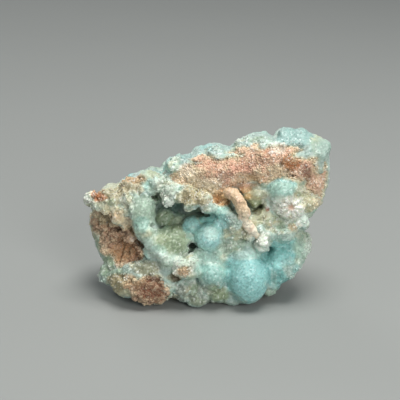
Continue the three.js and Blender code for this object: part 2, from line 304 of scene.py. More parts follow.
# A zone is x, y and two half-sizes on that plane. Its share of a spot is 1 in its middle and 0 outside.
def shares(zones, fray, salt, edge=(1.2, 0.8), reach=0):
    flat = seen(bodySpots)
    ragged = fray * (0.6 * softNoise(bodySpots, 2.2, salt) + 0.4 * softNoise(bodySpots, 0.9, salt + 1))
    size, high = zoneEdges["waves"]
    waves = high * softNoise(bodySpots, size, salt + 2)
    part, extra = zoneEdges["deep"]
    for x, y, *half in zones:
        away = np.linalg.norm((flat - (x, y)) / half, axis=1) + ragged
        deep = np.abs((bodySpots - landing((x, y))) @ towards) + waves
        far = reach or part * min(half) + extra
        yield ramp(away, *edge) * ramp(deep, far + zoneEdges["fading"], far)


def covering(zones, fray, salt=3):
    return np.max(list(shares(zones, fray, salt)), 0)


# the fused surface of the whole lump

growth = {
    "voxel": 0.36,  # mm
    "rockGrown": 0.3,  # closes the seams between the solids
    "liningGrown": 0.35,
    "crustGrown": 0.05,
    "fusing": 10,  # smoothing rounds that let the balls grow into each other
    "lipRounds": 30,  # and that wear down the step where bare rock begins
    "windowRounds": 14,  # and that soften the border of the bare rock
    "sunk": 0.8,  # how deep a piece lies where another one covers it
    # knobs too small for the solids: centre and radius, mm
    "knobs": [
        # the druse right of the hollow
        (22.7, -9.4, 21.8, 2.2), (23.4, -6.2, 20.6, 1.4), (20.7, -11.2, 21.2, 1.1), (19.1, -10.4, 19.3, 2.4),
        (16.5, -10.2, 19.2, 1.7), (17.3, -9.6, 21.1, 1.3),
        # round the deep place beside the stalactite
        (12.1, -9.2, 29.0, 1.5), (13.7, -8.6, 29.6, 1.4), (11.6, -9.8, 26.9, 1.2), (15.4, -8.6, 28.4, 1.3),
        (11.8, -8.2, 30.5, 1.5), (14.3, -8.6, 26.9, 1.5),
        # the foot of the stalactite
        (4.1, -8.4, 28.2, 1.6), (3.1, -8.0, 26.8, 1.6), (2.0, -9.2, 28.7, 1.5), (5.1, -8.8, 29.8, 1.4),
        # behind the bright ball
        (3.7, -8.6, 21.6, 1.8), (5.1, -9.4, 20.5, 1.5),
        # hanging from the roof of the vug
        (3.4, -9.6, 25.4, 1.3), (1.4, -10.0, 26.1, 1.1), (-1.4, -9.6, 27.1, 1.3), (-4.9, -9.6, 27.8, 1.2),
        # in the creases of the druse
        (8.5, -10.2, 16.7, 1.5), (12.8, -11.4, 20.7, 1.2), (10.6, -12.0, 19.2, 1.0), (7.9, -12.4, 22.4, 1.0),
        (5.9, -11.4, 23.9, 1.2),
        # along the ridge and the pillar
        (-13.7, -9.4, 16.1, 1.4), (-10.8, -10.6, 14.2, 1.5), (-17.3, -9.0, 22.9, 1.3),
        (-7.3, -11.0, 14.3, 1.4),
        # on the white ridge
        (13.8, -12.6, 17.9, 1.6), (14.6, -12.0, 19.4, 1.3), (13.1, -12.6, 16.2, 1.3),
        # along the edge of the scoop
        (-20.5, -7.2, 20.1, 1.6), (-18.9, -7.4, 17.2, 1.5), (-21.8, -7.8, 22.9, 1.5),
        (-17.3, -8.0, 14.4, 1.4), (-16.0, -9.4, 12.1, 1.4),
        # left of the ridge
        (-15.3, -9.8, 13.5, 1.5), (-13.0, -11.4, 11.6, 1.7), (-10.2, -11.8, 10.7, 1.6),
        (-16.8, -11.6, 10.3, 1.5), (-19.2, -11.2, 10.6, 1.4),
    ],
    # low places in the outline of the top and of the right side: zone and depth, mm
    "dips": [
        (-20.7, 4.6, 1.6, 1.8, 0.8), (-27.0, 2.6, 1.0, 1.2, 0.5), (-10.0, 8.6, 1.1, 2.2, 1.5),
        (-11.6, 8.9, 1.3, 1.8, 0.6), (-3.0, 12.1, 1.6, 2.2, 1.1), (7.0, 14.0, 1.9, 2.2, 1.4),
        (18.0, 17.1, 1.5, 2.0, 1.5), (27.5, 17.1, 1.3, 1.6, 0.6),
    ],
    "dipReach": 12,  # mm, so that a dip crosses the whole top
    "barer": [  # zones of bare rock beyond the solids' own windows
        # the scooped left face
        (-25.1, -5.8, 2.5, 2.9), (-20.4, -10.3, 4.7, 3.2), (-17.8, -13.2, 3.5, 2.1),
        # the toe
        (-12.2, -22.5, 4.1, 3.4), (-17.3, -20.7, 2.5, 1.2),
        # the stained spots on the left block
        (-25.2, 1.5, 1.0, 1.1), (-16.4, 5.4, 2.7, 0.8),
        (5.4, 0.4, 2.3, 1.9),  # beside the stalactite root
        (-3.9, -17.8, 1.2, 1.0),  # on the white lump
        # along the top of the face
        (0.5, 10.4, 2.9, 0.8), (11.0, 12.4, 4.0, 0.9), (15.3, 13.3, 2.7, 0.7),
    ],
    "bareBack": ((3.2, 19.0), (6.8, 4.2)),  # x and z of the middle, and half-sizes
    "backBegins": (4, 7),  # y, mm
    "grown": [  # zones where druse hides the rock
        # the right edge of the scoop
        (-12.9, -12.1, 1.5, 3.1), (-14.9, -16.4, 2.2, 1.3),
        (20.3, 3.4, 2.9, 2.1),  # the lump under the ledge
        # druse that hangs over the ledge
        (26.6, 11.4, 3.7, 1.2), (16.2, 13.8, 2.7, 1.0), (30.0, 9.1, 1.1, 2.7),
    ],
}


def fusedSurface():
    parts = []
    grown = (("matrix", "rockGrown"), ("hemimorphite_crust", "crustGrown"), ("vug_lining", "liningGrown"))
    for name, grow in grown:
        spots, tris = nodeArrays(name)
        parts.append((spots + normalsOf(spots, tris) * growth[grow], tris))
    ball, ballTris = ballArrays()
    parts += [(ball * radius + centre, ballTris) for *centre, radius in growth["knobs"]]
    spots, tris = remeshed(*joined(parts), growth["voxel"])
    spots, tris = largestIsland(spots, tris)
    return smoothed(spots, tris, growth["fusing"]), tris


def openness(rays=10, reach=14):  # share of the rays that leave without hitting the lump
    tree = treeOf(bodySpots, bodyTris)
    ways = unit(chance.normal(size=(rays, 3)))
    free = np.zeros(len(bodySpots))
    for way in ways:
        out = unit(way + 1.02 * bodyNormals)
        start = bodySpots + bodyNormals * 0.25 + out * 0.1
        free += [tree.ray_cast(a, b, reach)[0] is None for a, b in zip(start.tolist(), out.tolist())]
    return smoothed(free / rays, bodyTris, 4).ravel()


bodySpots, bodyTris = fusedSurface()
bodyNormals = normalsOf(bodySpots, bodyTris)
bodyTree = treeOf(bodySpots, bodyTris)
print("fused surface:", len(bodyTris), "triangles")

names = ("matrix", "hemimorphite_crust", "vug_lining")
toRock, toCrust, toLining = (distanceTo(treeOf(*nodeArrays(name)), bodySpots) for name in names)
window = ramp(np.minimum(toCrust, toLining) - toRock, -0.3, 0.3)
window = smoothed(window, bodyTris, growth["windowRounds"]).ravel()
window = np.clip(window + covering(growth["barer"], 0.5, 13), 0, 1)
window = window * (1 - covering(growth["grown"], 0.5, 15))
centre, half = growth["bareBack"]
away = np.linalg.norm((bodySpots[:, [0, 2]] - centre) / half, axis=1) + 0.5 * roughNoise(bodySpots, 5.0, 27)
window += ramp(bodySpots[:, 1], *growth["backBegins"]) * (ramp(away, 1.3, 0.6) - window)
for *zone, depth in growth["dips"]:
    (share,) = shares([zone], 0.2, 5, (1.7, 0.1), growth["dipReach"])
    bodySpots -= bodyNormals * (depth * share)[:, None]
worn = 4 * window * (1 - window)
bodySpots += worn[:, None] * (smoothed(bodySpots, bodyTris, growth["lipRounds"]) - bodySpots)
bodyNormals = normalsOf(bodySpots, bodyTris)
fray = 0.6 * roughNoise(bodySpots, 2.2, 11) + 0.4 * softNoise(bodySpots, 0.7, 17)
rockShare = ramp(window + 0.34 * fray, 0.25, 0.5)
edgeShare = 4 * smoothed(rockShare, bodyTris, 10).ravel()
edgeShare *= 1 - edgeShare / 4
vugShare = ramp(np.minimum(toCrust, toRock) - toLining, -0.1, 0.3) * (1 - rockShare)
light = openness()
print("zones found")

# relief

relief = {
    "hummocks": (5.2, 0.8),  # size and height, mm
    "knobs": (2.5, 0.6),
    "beads": (1.2, 0.22),
    "grains": (0.5, 0.1),
    "rockLumps": (3.8, 0.9),
    "rockPits": (1.8, 0.35),
    "rockGrains": (0.5, 0.14),
    "rockBlocks": (2.3, 1.1),  # broken steps, only where the rock is rugged
    "warp": (2.8, 0.9),  # bends the rows of knobs
    "calm": 0.92,  # share of the knobs' height that a smooth zone takes away
    "rugged": [  # zones of it
        # the scooped left face
        (-24.0, -6.1, 4.0, 3.1), (-20.0, -11.4, 5.4, 4.5),
        # the toe
        (-12.4, -22.6, 4.9, 3.6), (-19.6, -19.9, 3.6, 1.8),
        (5.4, 0.2, 2.7, 2.2),  # the foot of the stalactite
    ],
    "smooth": [  # zones of smooth swellings, where the knobs stay low
        (11.8, -19.0, 5.6, 7.4),  # the big ball
        (20.8, -13.2, 3.4, 3.1),  # the mass at the right
        (2.8, -17.2, 4.0, 3.8),  # the pale swelling beside the big ball
        # the bright ball in the vug and its neighbours
        (2.2, -9.1, 3.9, 3.9), (-2.1, -6.3, 2.6, 2.6), (2.8, -4.9, 3.1, 1.6),
        # the pillar and its ridge
        (-14.3, -2.6, 2.5, 3.4), (-11.1, -11.6, 2.2, 1.6),
        (21.0, 16.6, 1.8, 1.5),  # on the crest
        (20.3, 2.6, 3.4, 2.6),  # the lump under the ledge
    ],
    "coarse": [  # zones where knobs of every shade grow through each other
        # the rough side of the mass at the right
        (23.1, -16.8, 2.3, 2.7), (27.1, -13.2, 1.5, 5.4),
        # bright places along the crest
        (-5.3, 9.1, 2.7, 1.8), (4.1, 12.4, 2.7, 1.1), (13.9, 14.5, 4.0, 1.6), (23.0, 13.3, 4.0, 1.3),
        (-13.8, -17.0, 4.0, 1.8),  # the grey shelf
        # the roof of the vug
        (-4.8, 0.2, 8.9, 3.1), (-8.3, 3.6, 4.0, 3.2),
        # the druse right of the hollow
        (8.7, -8.3, 4.5, 5.4), (15.7, -10.5, 2.7, 3.6), (22.0, -1.8, 4.9, 3.1), (26.0, 0.2, 3.1, 3.6),
        (20.2, -6.1, 6.7, 2.2),
        (-21.8, 0.6, 7.6, 4.9),  # the left block
        (-3.4, -16.2, 3.6, 3.1),  # the white lump
        # the left foot and the front ones
        (-22.2, -19.5, 4.9, 3.6), (-1.3, -22.6, 7.6, 3.1),
    ],
}

star = {  # blades that spread from one point, low on the right
    "at": (22.8, -1.8),
    "reach": 3.3,  # mm
    "rays": 9,
    "high": 0.4,
    "pit": 0.7,
}

gaps = {
    "depth": 1.6,  # mm, how far the gaps between the growths go in; their dark colour is painted shade
    "at": [  # zone, and how open it is
        (-20.4, -7.5, 1.8, 0.7, 0.50), (-14.8, -14.7, 1.5, 0.7, 0.50), (-23.3, -4.3, 1.6, 0.6, 0.30),
        (-6.4, -19.5, 1.3, 0.6, 0.35), (-1.9, -11.6, 0.9, 0.9, 1.00), (-10.7, 0.5, 1.1, 0.7, 1.00),
        (-0.1, -3.3, 1.2, 0.4, 1.00), (1.9, -3.8, 1.2, 0.4, 1.00), (-11.5, -6.5, 0.4, 0.7, 0.80),
        (20.3, 9.0, 0.5, 0.8, 0.50), (21.7, 7.1, 0.8, 0.4, 0.40), (23.3, 6.1, 1.1, 0.4, 0.45),
    ],
}

smoothShare = covering(relief["smooth"], 0.12)
coarseShare = covering(relief["coarse"], 0.4, 7) * (1 - 0.85 * smoothShare)
ruggedShare = covering(relief["rugged"], 0.3, 19)


# how far inside the star, the distance from its middle, and 1 on a ray to -1 between two
def starShape(spots):
    away = seen(spots) - star["at"]
    far = np.linalg.norm(away, axis=1)
    turn = np.arctan2(away[:, 1], away[:, 0])
    rays = np.cos(star["rays"] * turn + 2.6 * softNoise(spots, 2.0, 45))
    return ramp(far, star["reach"], 0.65 * star["reach"]) * ramp(spots[:, 1], -4, -7), far, rays


def reliefHeight(spots):
    size, high = relief["warp"]
    warp = np.stack([softNoise(spots, size, salt) for salt in (31, 32, 33)], 1)
    bent = spots + high * warp
    calm = 1 - relief["calm"] * smoothShare
    size, high = relief["hummocks"]
    behind = ramp(spots[:, 1], 1, 6)  # no druse covers the balls at the back
    druse = high * (domes(bent + 0.6 * warp, size, 20) - 0.5) * calm * (1 + behind)
    size, high = relief["knobs"]
    druse += high * (domes(bent, size, 21) - 0.45) * (0.7 + 0.5 * coarseShare + 0.7 * behind) * calm
    size, high = relief["beads"]
    druse += high * 1.6 * roughNoise(bent, size, 22, 2) * (0.5 + 0.9 * coarseShare) * (1 - 0.75 * smoothShare)
    size, high = relief["grains"]
    near, _, own = cellNoise(spots, size, 23)
    druse += high * (own - 0.5 + 0.7 * (0.5 - near)) * (0.8 + 0.6 * coarseShare) * (1 - 0.4 * smoothShare)
    size, high = relief["rockLumps"]
    rock = high * roughNoise(spots, size, 41) * (0.6 + 0.6 * ruggedShare)
    size, high = relief["rockPits"]
    near, following, own = cellNoise(bent, size, 42)
    rock -= high * (1 - ramp(following - near, 0, 0.35)) * own
    size, high = relief["rockBlocks"]
    near, following, own = cellNoise(spots * (1, 1, 1.5) + 0.5 * warp, size, 44)
    rock += high * ruggedShare * (own - 0.5 - 0.4 * (1 - ramp(following - near, 0, 0.25)))
    size, high = relief["rockGrains"]
    near, _, own = cellNoise(spots, size, 43)
    rock += high * (own - 0.5 + 0.8 * (0.5 - near))
    inside, far, rays = starShape(spots)
    blade = star["high"] * rays * ramp(far, 0.3, 1.4) - star["pit"] * ramp(far, 1.2, 0.2)
    return (druse * (1 - 0.7 * inside) + blade * inside) * (1 - rockShare) + rock * rockShare


deepNormals = unit(smoothed(bodyNormals, bodyTris, 12))
gapShares = shares([gap[:4] for gap in gaps["at"]], 0.7, 9)
gapShare = np.max([gap[4] * share for gap, share in zip(gaps["at"], gapShares)], 0)
bodySpots -= deepNormals * (gaps["depth"] * gapShare)[:, None]
bodyNormals = normalsOf(bodySpots, bodyTris)
height = reliefHeight(bodySpots)
dressed = bodySpots + unit(bodyNormals + deepNormals) * height[:, None]
# more than 0 on tops, less in creases
hollow = np.einsum("ij,ij->i", dressed - smoothed(dressed, bodyTris, 6), bodyNormals)
print("relief ready")

# colours

shades = {  # sRGB
    "aqua": (166, 205, 194),
    "sky": (150, 205, 203),
    "teal": (128, 190, 186),
    "deepTeal": (96, 160, 160),
    "pale": (193, 214, 202),
    "white": (224, 230, 216),
    "sage": (170, 192, 172),
    "green": (164, 182, 156),
    "moss": (150, 170, 138),
    "olive": (134, 142, 106),
    "straw": (206, 198, 160),
    "cream": (222, 208, 174),
    "khaki": (172, 160, 124),
    "honey": (204, 166, 106),
    "apricot": (238, 196, 144),
    "coral": (216, 148, 118),
    "mauve": (168, 126, 112),
    "snow": (246, 246, 236),
    "mist": (168, 188, 180),
    "ice": (186, 236, 232),
    "slate": (146, 178, 172),
    "grey": (150, 156, 142),
    "pink": (226, 188, 162),
    "rose": (210, 158, 134),
    "tan": (214, 176, 134),
    "orange": (186, 118, 66),
    "brown": (170, 130, 102),
    "rust": (140, 94, 70),
    "umber": (92, 76, 58),
    # painted shade, for the deep places and the gaps
    "paintedShade": (40, 48, 40),
}

# where the growth has its own colour, and two rows of painted light: shade, zone, strength
tints = [
    ("mist", -5.7, 10.8, 4.4, 2.2, 0.85), ("mist", 2.3, 12.8, 5.4, 2.2, 0.8),
    ("sky", 1.9, 13.1, 1.8, 0.9, 0.5), ("mist", 13.5, 15.0, 5.6, 2.4, 0.9),
    ("mist", 23.5, 16.9, 5.4, 2.6, 0.9), ("sky", 25.5, 17.2, 2.9, 1.4, 0.35),
    ("pale", 20.8, 13.6, 4.4, 1.4, 0.7), ("green", 30.4, 12.9, 2.7, 3.1, 0.55),
    ("pale", 31.6, 9.1, 1.3, 3.1, 0.6), ("straw", -22.9, -0.7, 6.7, 3.6, 0.6),
    ("white", -28.0, 0.5, 1.1, 1.5, 0.8), ("orange", -25.2, 1.5, 1.2, 1.3, 1.0),
    ("pink", -16.4, 5.4, 3.4, 1.2, 0.7), ("green", -12.9, 6.9, 2.5, 1.8, 0.6),
    ("sky", -19.1, 6.4, 2.0, 1.0, 0.85), ("pale", -18.2, 2.2, 2.8, 2.1, 0.8),
    ("cream", -22.5, -3.6, 2.9, 1.2, 0.85), ("tan", -18.6, -5.5, 2.1, 1.2, 0.6),
    ("sage", -14.3, -2.9, 2.9, 5.0, 0.85), ("aqua", -14.6, -6.1, 2.0, 2.2, 0.6),
    ("pale", -11.1, -11.8, 3.4, 2.3, 0.75), ("pale", -7.9, -14.2, 2.3, 2.0, 0.7),
    ("green", -7.5, -9.4, 4.7, 3.7, 0.85), ("white", -3.3, -16.2, 3.4, 2.9, 0.9),
    ("pink", -3.9, -17.8, 1.5, 1.2, 0.9), ("aqua", 2.5, -17.2, 3.6, 3.4, 0.7),
    ("pale", 2.1, -15.4, 2.2, 1.5, 0.5), ("grey", -13.6, -16.9, 4.1, 1.7, 0.85),
    ("moss", -23.3, -16.8, 2.1, 2.7, 0.75), ("sage", -20.9, -18.8, 2.7, 1.6, 0.7),
    ("tan", -18.9, -19.9, 3.1, 1.6, 0.75), ("straw", -7.5, -24.1, 2.1, 1.8, 0.7),
    ("grey", -3.0, -22.6, 2.9, 2.2, 0.8), ("grey", 0.1, -24.7, 3.1, 1.5, 0.7),
    ("moss", 4.6, -23.5, 2.8, 2.1, 0.75), ("brown", -5.9, -19.1, 1.3, 0.9, 0.6),
    ("moss", -8.7, -4.5, 2.3, 2.2, 0.8), ("olive", -5.8, -6.1, 2.2, 2.3, 0.7),
    ("sky", -2.1, -6.3, 2.3, 2.3, 0.8), ("teal", 2.8, -4.8, 3.6, 1.5, 0.85),
    ("sky", 2.1, -9.1, 3.7, 3.7, 0.7), ("pale", 2.8, -8.3, 2.0, 1.8, 0.5),
    ("aqua", 2.3, -13.7, 3.1, 1.8, 0.5), ("pale", -8.4, 3.6, 4.1, 2.9, 0.85),
    ("white", -8.3, -0.3, 1.7, 1.7, 0.9), ("straw", -3.9, 0.8, 2.7, 1.8, 0.7),
    ("cream", 1.1, 0.6, 2.3, 1.7, 0.75), ("aqua", 3.7, -3.1, 2.3, 1.3, 0.6),
    ("tan", 11.5, 2.9, 1.5, 1.2, 0.95), ("straw", 12.1, 1.0, 1.1, 1.0, 0.9),
    ("olive", 14.5, -1.2, 2.1, 2.0, 0.9), ("sky", 20.3, 2.9, 3.5, 2.6, 0.8),
    ("white", 21.6, -1.2, 3.7, 2.4, 0.85), ("tan", 22.6, -1.2, 1.0, 1.2, 0.8),
    ("straw", 26.3, 0.6, 2.7, 3.7, 0.8), ("straw", 15.9, -4.5, 3.7, 1.9, 0.6),
    ("pale", 25.3, -5.2, 1.7, 1.5, 0.7), ("tan", 23.1, -6.7, 1.2, 0.7, 0.85),
    ("cream", 19.5, -5.8, 2.9, 0.7, 0.75), ("white", 15.7, -10.5, 2.1, 3.3, 0.95),
    ("pale", 20.8, -8.6, 3.6, 1.9, 0.7), ("teal", 20.9, -15.7, 6.7, 6.5, 0.85),
    ("white", 23.3, -4.3, 4.0, 1.3, 0.6), ("pale", 21.1, -7.0, 4.9, 1.5, 0.6),
    ("straw", -19.1, -22.1, 4.0, 1.3, 0.5), ("aqua", 5.2, -6.1, 2.0, 1.8, 0.9),
    ("moss", -26.7, -10.5, 1.8, 4.9, 0.6), ("white", 26.5, -5.1, 1.3, 1.6, 0.7),
    ("green", 25.0, -5.3, 1.9, 1.8, 0.7), ("tan", 23.1, -6.7, 1.1, 0.8, 0.9),
    ("pale", 20.8, -8.8, 2.9, 1.7, 0.8), ("sage", 26.0, -13.2, 2.2, 4.0, 0.6),
    ("white", 27.7, -13.2, 0.9, 4.0, 0.5), ("teal", 5.4, -5.4, 2.2, 2.0, 0.9),
    ("aqua", 5.2, -2.1, 1.5, 1.3, 0.8), ("pale", 3.2, -1.6, 1.5, 1.2, 0.7),
    ("cream", -3.3, 0.2, 1.8, 1.3, 0.5), ("olive", 13.9, -0.7, 1.6, 1.8, 0.6),
    ("straw", 14.8, 1.5, 2.7, 1.3, 0.6), ("straw", -23.6, 2.9, 5.4, 2.7, 0.5),
    ("cream", -21.3, -1.2, 2.7, 2.7, 0.4), ("teal", 12.1, -22.1, 4.0, 3.1, 0.4),
    ("white", 24.2, -3.6, 3.1, 1.0, 0.5), ("pale", 25.1, -5.6, 1.8, 1.5, 0.5),
    ("deepTeal", 17.5, -17.2, 1.8, 3.6, 0.4), ("tan", -17.1, 5.8, 2.9, 1.2, 0.45),
    ("orange", -25.2, 1.2, 1.6, 1.3, 0.95), ("straw", -22.0, 2.2, 2.7, 2.2, 0.5),
    ("tan", -1.3, 1.3, 2.7, 1.6, 0.45), ("mist", 23.3, 15.8, 4.0, 2.7, 0.5),
    ("white", 15.9, -10.5, 1.8, 2.7, 0.8), ("sage", 20.2, 2.3, 3.6, 2.2, 0.55),
    ("cream", -20.5, -4.3, 1.6, 2.2, 0.7), ("tan", -18.2, -8.3, 1.8, 2.2, 0.6),
    # painted light: the two aqua rows here lift the blue where the balls and a rim shade it
    ("aqua", 5.4, -5.6, 1.8, 1.8, 0.6), ("aqua", 18.8, -15.0, 2.1, 2.2, 0.4),
    ("white", 21.7, -1.8, 2.7, 2.2, 0.3), ("cream", 29.3, -0.7, 1.3, 1.3, 0.6),
    ("straw", -1.3, 1.5, 2.9, 2.0, 0.8), ("tan", 1.4, 2.4, 1.8, 1.1, 0.4),
    ("moss", -7.1, -10.8, 3.3, 2.8, 0.55), ("straw", -9.3, -9.6, 2.2, 1.3, 0.35),
    ("sage", -3.3, -15.4, 2.4, 2.1, 0.5), ("sage", 3.2, -18.6, 3.6, 3.1, 0.45),
    ("mist", 23.3, 15.8, 3.6, 2.7, 0.6), ("olive", -20.8, -20.1, 2.7, 1.8, 0.45),
    ("moss", 4.6, -23.5, 2.7, 1.8, 0.6), ("white", 24.9, -4.7, 2.7, 2.1, 0.6),
    ("teal", 18.8, -15.2, 2.3, 2.5, 0.7), ("pale", 18.4, -19.5, 0.8, 4.9, 0.45),
    ("mist", 30.9, 13.1, 2.7, 2.7, 0.4), ("white", -10.3, -13.7, 2.7, 1.0, 0.6),
    ("grey", -12.9, -17.0, 2.7, 1.5, 0.5), ("sage", 25.5, -11.9, 2.4, 2.2, 0.45),
    ("sky", 11.5, -18.8, 5.4, 7.1, 0.85), ("pale", 11.5, -13.5, 3.8, 1.5, 0.6),
    ("pale", 8.4, -6.5, 2.7, 1.8, 0.7), ("green", 8.8, -10.5, 3.1, 2.7, 0.55),
    ("cream", 12.6, -7.0, 2.2, 2.2, 0.5),
]

rockTints = [
    ("orange", -25.2, 1.5, 1.2, 1.3, 0.9), ("pink", -16.4, 5.4, 3.4, 1.2, 0.6),
    ("orange", 5.4, 0.4, 2.9, 2.2, 0.3), ("tan", -3.9, -17.8, 1.5, 1.2, 0.8),
    ("cream", -3.9, 7.3, 4.9, 2.7, 0.6), ("rose", -0.4, 9.1, 2.7, 1.0, 0.5),
    ("brown", 2.8, 6.9, 3.1, 1.8, 0.45), ("rose", 10.6, 8.6, 3.1, 1.4, 0.55),
    ("brown", 15.5, 12.1, 2.7, 0.9, 0.6), ("cream", 12.1, 4.6, 3.6, 1.5, 0.5),
    ("tan", 14.4, 5.3, 2.7, 1.1, 0.6), ("cream", 19.7, 7.1, 3.1, 2.1, 0.6),
    ("orange", 23.1, 9.5, 2.1, 1.8, 0.85), ("rust", 26.9, 7.3, 1.2, 2.1, 0.75),
    ("straw", 26.9, 11.3, 3.4, 1.3, 0.7), ("pink", 29.3, 3.3, 1.2, 4.0, 0.7),
    ("tan", 6.1, 0.8, 2.8, 2.4, 0.9), ("cream", 1.4, 3.5, 4.9, 1.2, 0.55),
    ("umber", -22.9, -4.8, 4.9, 2.0, 0.25), ("rust", -22.5, -8.7, 3.1, 2.0, 0.4),
    ("brown", -19.6, -10.0, 5.4, 4.4, 0.6), ("tan", -19.6, -13.2, 2.7, 1.8, 0.4),
    ("tan", -24.5, -5.2, 2.7, 1.8, 0.35), ("olive", -23.6, -4.3, 4.0, 1.5, 0.5),
    ("orange", -25.2, 0.7, 1.3, 1.0, 0.9), ("orange", -12.2, -22.8, 3.6, 2.7, 0.8),
    ("orange", -19.1, -13.4, 4.6, 2.2, 0.5), ("rust", -12.2, -22.6, 4.3, 3.7, 0.85),
    ("tan", -16.9, -20.4, 3.1, 1.6, 0.6),
]

# spots that lie on top of everything else, crust or rock: stains, and a few rows of painted light in shaded
# places
stainsAndPaintedLight = [
    # painted light: the apricot row lifts the recess at the stalactite's foot, which the stalactite shades
    ("orange", -25.0, 0.9, 1.6, 1.4, 1.0), ("apricot", 5.4, 0.2, 2.4, 1.8, 0.85),
    ("tan", 11.0, 2.9, 1.2, 1.1, 0.8), ("honey", 12.1, 1.0, 0.9, 0.8, 0.7),
    ("brown", 11.0, 3.7, 3.3, 0.8, 0.75), ("rust", 16.9, -2.3, 0.5, 0.7, 0.9),
    ("cream", 23.1, -6.7, 1.0, 0.85, 0.85), ("khaki", -1.3, 1.3, 3.4, 2.2, 0.8),
    ("khaki", -21.8, 2.6, 3.6, 2.0, 0.75), ("tan", -17.1, 5.6, 2.9, 1.3, 0.65),
    ("khaki", -17.1, 5.6, 2.9, 1.3, 0.35), ("coral", -3.1, 8.1, 1.2, 0.8, 0.35),
    ("rose", 9.5, 7.9, 2.9, 1.1, 0.5), ("mauve", 5.8, 6.1, 2.4, 1.0, 0.35),
    ("orange", 23.3, 9.6, 1.8, 0.9, 0.45), ("mauve", 26.6, 7.5, 1.3, 1.5, 0.4),
    ("umber", 20.3, 9.0, 0.6, 0.9, 0.4), ("umber", 23.1, 6.2, 1.3, 0.5, 0.4),
    ("coral", 17.0, 11.7, 1.2, 1.1, 0.4), ("brown", 16.6, 10.5, 2.7, 1.8, 0.35),
    ("cream", 2.3, 4.6, 2.9, 1.4, 0.45), ("pink", -3.5, 7.3, 2.0, 1.8, 0.3),
    ("straw", -19.6, -22.7, 3.6, 1.2, 0.6), ("khaki", -21.0, -20.7, 2.5, 2.0, 0.8),
    ("khaki", -6.4, -19.1, 2.2, 1.3, 0.6), ("olive", 4.9, -23.7, 2.7, 1.6, 0.5),
    ("olive", -0.8, -25.3, 1.6, 1.1, 0.4), ("grey", -13.3, -17.1, 3.1, 1.5, 0.85),
    ("khaki", -13.3, -17.1, 3.1, 1.5, 0.35), ("slate", 23.3, 15.8, 4.5, 2.7, 0.95),
    ("snow", 19.8, 12.9, 2.1, 1.5, 0.45), ("slate", 31.3, 12.5, 1.8, 2.7, 0.3),
    ("slate", -4.8, 10.8, 3.1, 1.5, 0.85), ("slate", 3.2, 12.9, 3.6, 1.3, 0.35),
    ("straw", -11.3, 7.2, 2.2, 1.6, 0.4), ("khaki", -11.3, 7.2, 2.2, 1.6, 0.2),
    ("tan", -19.6, -13.0, 2.7, 2.2, 0.45), ("tan", -21.3, -4.3, 2.0, 1.3, 0.35),
    # painted light: the two sky rows here and the first pale row below lift the blue where the balls and a
    # rim shade it
    ("sky", 18.8, -15.0, 2.5, 2.5, 0.9), ("sky", 5.4, -5.7, 2.0, 1.7, 0.9),
    ("pale", 5.4, -5.7, 2.0, 1.7, 0.5), ("snow", 22.5, -1.8, 3.1, 2.4, 0.5),
    ("snow", 16.0, -10.5, 1.6, 2.5, 0.1), ("snow", 25.0, -4.6, 2.2, 2.0, 0.5),
    ("cream", -3.0, 7.1, 2.2, 1.8, 0.4), ("teal", 3.2, -18.6, 3.6, 2.7, 0.35),
    ("moss", -7.1, -10.5, 4.0, 2.9, 0.5), ("olive", -10.8, 0.6, 1.0, 1.0, 0.4),
    ("olive", -9.3, -4.3, 1.8, 1.8, 0.3), ("cream", 29.3, -0.7, 1.2, 1.6, 0.5),
    ("green", -1.7, -8.3, 2.0, 1.8, 0.3), ("snow", -3.5, 7.3, 2.1, 1.8, 0.28),
    ("snow", 2.3, 4.6, 2.7, 1.3, 0.15), ("tan", -17.1, 4.7, 2.9, 2.2, 0.45),
    # painted light: the first ice row lifts the blue in the shade between the big ball and the mass at the
    # right
    ("ice", 18.8, -15.0, 2.3, 2.3, 0.5), ("white", 23.1, -16.8, 2.7, 2.7, 0.25),
    ("white", 27.8, -12.8, 1.5, 4.9, 0.4), ("pale", 26.9, -13.2, 1.8, 2.7, 0.3),
    ("olive", -13.2, -16.8, 3.0, 1.8, 0.35), ("green", -11.3, 7.1, 2.7, 1.8, 0.3),
    ("rust", -12.4, -22.6, 2.9, 2.2, 0.5), ("khaki", 13.9, 3.3, 1.5, 1.2, 0.5),
    ("snow", 16.6, -0.4, 1.3, 1.8, 0.3), ("moss", -7.1, -10.5, 4.0, 2.9, 0.2),
    # painted light: the ice row here lifts the blue in the shade under the rim of the vug
    ("ice", 5.4, -5.6, 1.8, 1.6, 0.65), ("khaki", -8.4, 2.9, 2.7, 2.2, 0.25),
    ("teal", 3.2, -18.6, 3.6, 2.7, 0.2), ("olive", -7.1, -10.5, 4.0, 2.9, 0.2),
    ("khaki", -17.1, 4.6, 3.3, 2.7, 0.55), ("slate", 3.2, 12.9, 4.0, 1.3, 0.25),
    ("aqua", 26.1, -4.8, 1.6, 1.6, 0.35), ("brown", 27.3, 5.0, 1.5, 1.5, 0.3),
    ("slate", 4.1, 12.9, 3.6, 1.3, 0.2), ("rose", 4.1, 9.1, 3.1, 1.3, 0.25),
    ("mauve", 12.6, 9.1, 2.2, 1.2, 0.2), ("teal", 21.5, -14.3, 2.6, 2.4, 0.3),
    ("teal", 19.7, -21.2, 2.4, 2.0, 0.3), ("brown", -3.9, -17.9, 1.4, 1.1, 0.3),
    ("brown", -17.1, 5.7, 2.4, 1.6, 0.25), ("grey", -22.2, 2.4, 2.4, 2.0, 0.15),
    ("rust", -25.1, 1.1, 1.2, 1.1, 0.3), ("brown", -26.7, -8.8, 1.1, 3.1, 0.2),
    ("ice", -10.2, -12.8, 2.0, 1.6, 0.2), ("slate", 3.2, -18.6, 3.2, 2.6, 0.25),
    ("teal", -1.7, -8.3, 1.8, 1.6, 0.3),
]


